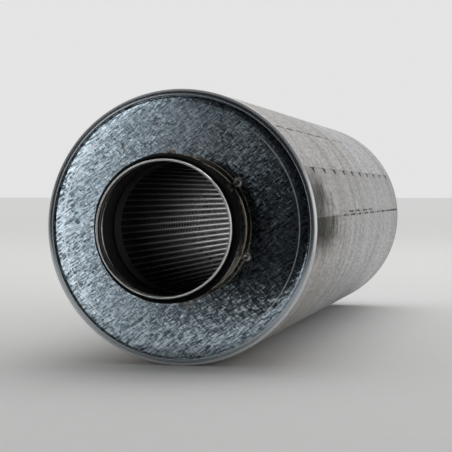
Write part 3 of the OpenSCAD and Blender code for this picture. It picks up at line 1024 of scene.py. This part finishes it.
# %% [markdown]
# ## Collar, rivet and liner metal
#
# The collars are spun from brighter sheet, so their streaks run round and are very fine, and handling left
# tan marks on them. The neck behind the gasket is painted dark tan as shade under the gasket lip, and the
# inside is painted with shade as well, apart from the rolled mouth and the ridge under the groove, which
# stay bright. The rivets are plain metal, dulled by the tool. The liner is thin sheet that was oiled for
# punching: smooth and bright along the bars, painted with shade towards both ends and on the cut edges
# of its holes. All three share the same groups with other numbers.

# %% Collar finish
COLLAR_GREY = (0.62, 0.62, 0.60, 1)
COLLAR_LIGHT = (0.76, 0.77, 0.76, 1)
HANDLED_TAN = (0.44, 0.41, 0.35, 1)
NECK_SHADE_TAN = (0.23, 0.21, 0.17, 1)
COLLAR_INSIDE_SHADE = (0.075, 0.073, 0.07, 1)
RIDGE_EDGE = (2.4 * MM, 3.4 * MM)
ridge_y = -(groove_y + groove_end_y) / 2
roll_band = (-land_y, -land_y - 1 * MM)
neck_band = (-groove_end_y, -groove_end_y - 2 * MM)
collar_zinc, tree, shader = finish("collar_zinc", 1.0)
turning = use(tree, rolling_streaks, Repeats=(8.0, 900.0, 8.0), Sharpness=0.2)["Streak"]
crystals = use(tree, zinc_crystals, Size=0.0022, Stretch=1.8, Lean=0.2, Tilt=0.07, Ragged=0.8)
touched = use(tree, handling_marks, Patches=26.0, Speckle=210.0, Cover=0.5)["Mask"]
zinc = blend(tree, crystals["Tone"], COLLAR_GREY, COLLAR_LIGHT)
handled = blend(tree, product(tree, touched, 0.4), zinc, HANDLED_TAN)
from_middle = math_of(tree, "ABSOLUTE", put(tree, "SeparateXYZ", {0: object_place(tree)}).outputs["Y"])
# Painted shade: the neck and flange behind the gasket are painted dark tan, for the shade under the gasket
# lip and the dark room they mirror.
on_neck = scaled(tree, from_middle, *neck_band, 0.0, 0.9)
necked = blend(tree, on_neck, handled, NECK_SHADE_TAN)
# Painted shade: the inside of the collar is painted near black, apart from the rolled mouth and the ridge
# under the groove.
inside = scaled(tree, use(tree, inward_faces)["Inward"], 0.3, 0.8, 0.0, 1.0)
behind_roll = scaled(tree, from_middle, *roll_band, 0.0, 1.0)
from_ridge = math_of(tree, "ABSOLUTE", math_of(tree, "SUBTRACT", from_middle, ridge_y))
off_ridge = scaled(tree, from_ridge, *RIDGE_EDGE, 0.0, 1.0)
inside_shade = product(tree, inside, behind_roll, off_ridge)
tree.links.new(blend(tree, inside_shade, necked, COLLAR_INSIDE_SHADE), shader.inputs["Base Color"])
clean = scaled(tree, turning, 0.0, 1.0, 0.12, 0.22)
tree.links.new(math_of(tree, "ADD", clean, product(tree, inside_shade, 0.4)), shader.inputs["Roughness"])
tree.links.new(crystals["Normal"], shader.inputs["Normal"])
for piece in collars:
    wear(piece, collar_zinc)

# %% Rivet finish
RIVET_LIGHT = (0.36, 0.36, 0.36, 1)
RIVET_DARK = (0.18, 0.175, 0.17, 1)
rivet_metal, tree, shader = finish("rivet_metal", 1.0)
scuffed = use(tree, handling_marks, Patches=220.0, Speckle=900.0, Cover=0.6)["Mask"]
tree.links.new(blend(tree, scuffed, RIVET_LIGHT, RIVET_DARK), shader.inputs["Base Color"])
tree.links.new(scaled(tree, scuffed, 0.0, 1.0, 0.22, 0.42), shader.inputs["Roughness"])
for piece in rivet_sets:
    wear(piece, rivet_metal)

# %% Liner finish
LINER_GREY = (0.86, 0.86, 0.855, 1)
LINER_LIGHT = (0.95, 0.95, 0.945, 1)
OIL_BROWN = (0.42, 0.41, 0.38, 1)
LINER_PAINTED_SHADE = (0.13, 0.13, 0.127, 1)
HOLE_WALL_SHADE = (0.02, 0.02, 0.02, 1)
FRONT_SHADE_REACH = (-40 * MM, -260 * MM)
REAR_SHADE_REACH = (100 * MM, 300 * MM)
liner_zinc, tree, shader = finish("liner_zinc", 1.0)
drawn = use(tree, rolling_streaks, Repeats=(160.0, 5.0, 160.0), Sharpness=0.2)["Streak"]
crystals = use(tree, zinc_crystals, Size=0.0018, Stretch=1.5, Lean=0.1, Tilt=0.04, Ragged=0.8)
oil = use(tree, handling_marks, Patches=14.0, Speckle=120.0, Cover=0.55)["Mask"]
zinc = blend(tree, crystals["Tone"], LINER_GREY, LINER_LIGHT)
oiled = blend(tree, product(tree, oil, 0.4), zinc, OIL_BROWN)
station = put(tree, "SeparateXYZ", {0: object_place(tree)}).outputs["Y"]
# Painted shade: the liner is painted darker towards the front mouth and towards the rear end of the tube.
front_shade = scaled(tree, station, *FRONT_SHADE_REACH, 0.0, 1.0)
rear_shade = scaled(tree, station, *REAR_SHADE_REACH, 0.0, 0.75)
inside_shade = math_of(tree, "MAXIMUM", front_shade, rear_shade)
painted_darker = blend(tree, inside_shade, oiled, LINER_PAINTED_SHADE)
# Painted shade: the walls of the holes, which look neither in nor out, are painted near black as the shade
# inside them.
level = math_of(tree, "ABSOLUTE", use(tree, inward_faces)["Inward"])
on_bars = scaled(tree, level, 0.5, 0.85, 0.0, 1.0)
tree.links.new(blend(tree, on_bars, HOLE_WALL_SHADE, painted_darker), shader.inputs["Base Color"])
smooth = scaled(tree, drawn, 0.0, 1.0, 0.2, 0.28)
tree.links.new(math_of(tree, "ADD", smooth, product(tree, inside_shade, 0.35)), shader.inputs["Roughness"])
tree.links.new(crystals["Normal"], shader.inputs["Normal"])
wear(liner, liner_zinc)

# %% [markdown]
# ## Rubber
#
# The gasket is black rubber, nearly without gloss. It needs a fine grain and a grey bloom where it was
# handled, or it would be a black hole beside the bright metal.

# %% Rubber finish
RUBBER_BLACK = (0.002, 0.002, 0.0022, 1)
RUBBER_BLOOM = (0.01, 0.0095, 0.009, 1)
gasket_rubber, tree, shader = finish("gasket_rubber")
bloom = use(tree, handling_marks, Patches=60.0, Speckle=700.0, Cover=0.6)["Mask"]
mould = use(tree, rolling_streaks, Repeats=(20.0, 2600.0, 20.0), Sharpness=0.3)["Streak"]
tree.links.new(blend(tree, bloom, RUBBER_BLACK, RUBBER_BLOOM), shader.inputs["Base Color"])
tree.links.new(scaled(tree, bloom, 0.0, 1.0, 0.55, 0.75), shader.inputs["Roughness"])
rough = put(tree, "Bump", {"Strength": 0.15, "Distance": 0.0002, "Height": mould}).outputs[0]
tree.links.new(rough, shader.inputs["Normal"])
shader.inputs["Specular IOR Level"].default_value = 0.03
for piece in seals:
    wear(piece, gasket_rubber)

# %% [markdown]
# ## Tissue and wool
#
# Behind the holes lies black glass tissue, which keeps the wool from blowing out, and behind that the
# yellow-brown wool. Both CAD shapes are right as they are, so they stay and only get a finish. One helper
# makes both finishes, since they differ only in their numbers.


# %% Packing finishes
def fibre_finish(name, mat, colours, roughness, strength, distance):
    material, tree, shader = finish(name)
    fibres = use(tree, fibre_mat, **mat)
    tree.links.new(blend(tree, fibres["Tone"], *colours), shader.inputs["Base Color"])
    shader.inputs["Roughness"].default_value = roughness
    relief = {"Strength": strength, "Distance": distance, "Height": fibres["Height"]}
    tree.links.new(put(tree, "Bump", relief).outputs[0], shader.inputs["Normal"])
    return material


TISSUE_BLACKS = ((0.003, 0.003, 0.0033, 1), (0.014, 0.014, 0.015, 1))
WOOL_YELLOWS = ((0.24, 0.19, 0.09, 1), (0.52, 0.44, 0.24, 1))
tissue_black = fibre_finish(
    "tissue_black",
    {"Repeats": 1400.0, "Length": 10.0},
    TISSUE_BLACKS,
    roughness=0.85,
    strength=0.5,
    distance=0.3 * MM,
)
wool_fibre = fibre_finish(
    "wool_fibre",
    {"Repeats": 500.0, "Length": 14.0},
    WOOL_YELLOWS,
    roughness=0.95,
    strength=0.8,
    distance=1.0 * MM,
)
wear(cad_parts["glass_tissue"], tissue_black)
wear(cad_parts["mineral_wool"], wool_fibre)

# %% [markdown]
# ## Floor
#
# The silencer lies on a wide pale table. A floor of one even white would look like no floor at all, so
# its paper has a faint grain, and it keeps the shadow under the tube. The table ends a little way in
# front of the tube, out of the picture, and only the foot of the cap mirrors it.


# %% Floor
def stage_piece(name, points, faces):
    mesh = bpy.data.meshes.new(name)
    mesh.from_pydata(points, [], faces)
    piece = bpy.data.objects.new(name, mesh)
    scene.collection.objects.link(piece)
    return piece


PAPER_GREY = (0.80, 0.80, 0.79, 1)
PAPER_LIGHT = (0.84, 0.84, 0.835, 1)
floor_half = 40.0
floor_front = end_y - 0.36
floor_z = -casing_r
floor_corners = [(-floor_half, floor_front, floor_z), (floor_half, floor_front, floor_z)]
floor_corners += [(floor_half, floor_half, floor_z), (-floor_half, floor_half, floor_z)]
floor = stage_piece("floor", floor_corners, [(0, 1, 2, 3)])
floor_paper, tree, shader = finish("floor_paper")
paper_grain = noise(tree, object_place(tree), scale=60.0, detail=4.0, rough=0.6)
tree.links.new(blend(tree, paper_grain, PAPER_GREY, PAPER_LIGHT), shader.inputs["Base Color"])
shader.inputs["Roughness"].default_value = 0.9
shader.inputs["Specular IOR Level"].default_value = 0.1
wear(floor, floor_paper)

# %% [markdown]
# ## Light
#
# Bare metal shows the room around it. The casing mirrors a pale backdrop behind the tube, the left of the
# cap mirrors one soft box, and its right mirrors the unlit end of the room where the camera stands. So
# the world is an even pale white, and a box of dark cloth with a short roof stands round the camera, as
# flags do in a studio, and is open towards the tube. A strip at the front right draws the white line on
# the rim, a weak fill lifts the top of the cap, and a large box above softens the shadow.

# %% World
WORLD_PALE = (0.78, 0.78, 0.78, 1)
world = bpy.data.worlds.new("studio")
scene.world = world
world.use_nodes = True
tree = world.node_tree
tree.nodes.clear()
sky = put(tree, "Background", {"Color": WORLD_PALE, "Strength": 1.0})
put(tree, "OutputWorld", {"Surface": sky.outputs[0]})
print("an even pale world")

# %% Dark end of the room
CLOTH_DARK = (0.012, 0.012, 0.014, 1)
CLOTH_LIGHT = (0.03, 0.03, 0.034, 1)
near_y = floor_front + 0.02
far_y = -3.2
left_x = -2.6
right_x = 1.9
top_z = 2.2
roof_y = -1.2
room_corners = [(x, y, z) for y in (near_y, far_y) for z in (-top_z, top_z) for x in (left_x, right_x)]
room_corners += [(left_x, roof_y, top_z), (right_x, roof_y, top_z)]
far_wall = (4, 5, 7, 6)
left_wall = (0, 4, 6, 2)
right_wall = (1, 3, 7, 5)
roof = (8, 6, 7, 9)
ground = (0, 1, 5, 4)
dark_cloth = stage_piece("dark_cloth", room_corners, [far_wall, left_wall, roof, ground, right_wall])
dark_cloth.visible_camera = False
cloth, tree, shader = finish("dark_cloth")
weave = noise(tree, object_place(tree), scale=90.0, detail=2.0)
tree.links.new(blend(tree, weave, CLOTH_DARK, CLOTH_LIGHT), shader.inputs["Base Color"])
shader.inputs["Roughness"].default_value = 1.0
shader.inputs["Specular IOR Level"].default_value = 0.0
wear(dark_cloth, cloth)


# %% Lamps
def soft_box(name, place, target, width, height, watts):
    lamp = bpy.data.lights.new(name, "AREA")
    lamp.shape = "RECTANGLE"
    lamp.size = width
    lamp.size_y = height
    lamp.energy = watts
    box = bpy.data.objects.new(name, lamp)
    box.location = place
    box.rotation_euler = (Vector(target) - Vector(place)).to_track_quat("-Z", "Y").to_euler()
    box.visible_camera = False
    scene.collection.objects.link(box)
    print(name, "at", place)


front_middle = (0, end_y, 0)
rim_right = (0.1, end_y, 0)
tube_middle = (0, 0.1, 0)
soft_box("front_box", (-1.0, -2.26, 0.35), front_middle, width=0.8, height=1.4, watts=3.9)
soft_box("side_strip", (1.6, -1.47, 0.1), rim_right, width=0.6, height=1.4, watts=4.4)
soft_box("upper_fill", (-0.5, -2.6, 0.26), front_middle, width=0.36, height=0.26, watts=0.08)
soft_box("top_box", (0.2, 0.9, 2.0), tube_middle, width=1.8, height=1.8, watts=10)
